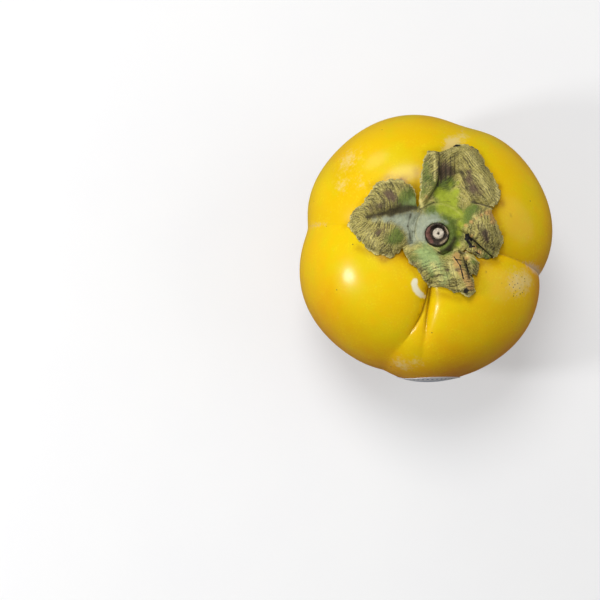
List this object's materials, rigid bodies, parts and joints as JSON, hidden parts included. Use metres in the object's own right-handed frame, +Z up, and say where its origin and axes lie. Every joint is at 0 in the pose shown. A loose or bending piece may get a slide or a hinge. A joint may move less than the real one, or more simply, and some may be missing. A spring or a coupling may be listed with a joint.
{
  "type": "persimmon",
  "caption": "Squat four-lobed ripe persimmon standing on its blossom end, with a dried four-part calyx, a cut stalk stub and a small blank oval label low on its front.",
  "frame": {"origin": "middle of the part's footprint box, on the surface that the fruit stands on", "axes": "+Z up along the stalk; +Y towards the back, the longest way across; +X to the right"},
  "size_m": [0.0756, 0.0806, 0.0608],
  "materials": {
    "skin": "waxy golden skin",
    "green_calyx": "grey-green, matt",
    "dry_sepal": "dry olive leaf, matt",
    "bark": "dark bark, matt",
    "label_paper": "coated paper, semi-gloss"
  },
  "bodies": {
    "root": {"fruit": "skin", "calyx_disc": "green_calyx", "sepal_left": "dry_sepal", "sepal_back": "dry_sepal", "sepal_right": "dry_sepal", "sepal_front": "dry_sepal", "stem_stub": "bark", "fruit_label": "label_paper"}
  },
  "joints": []
}
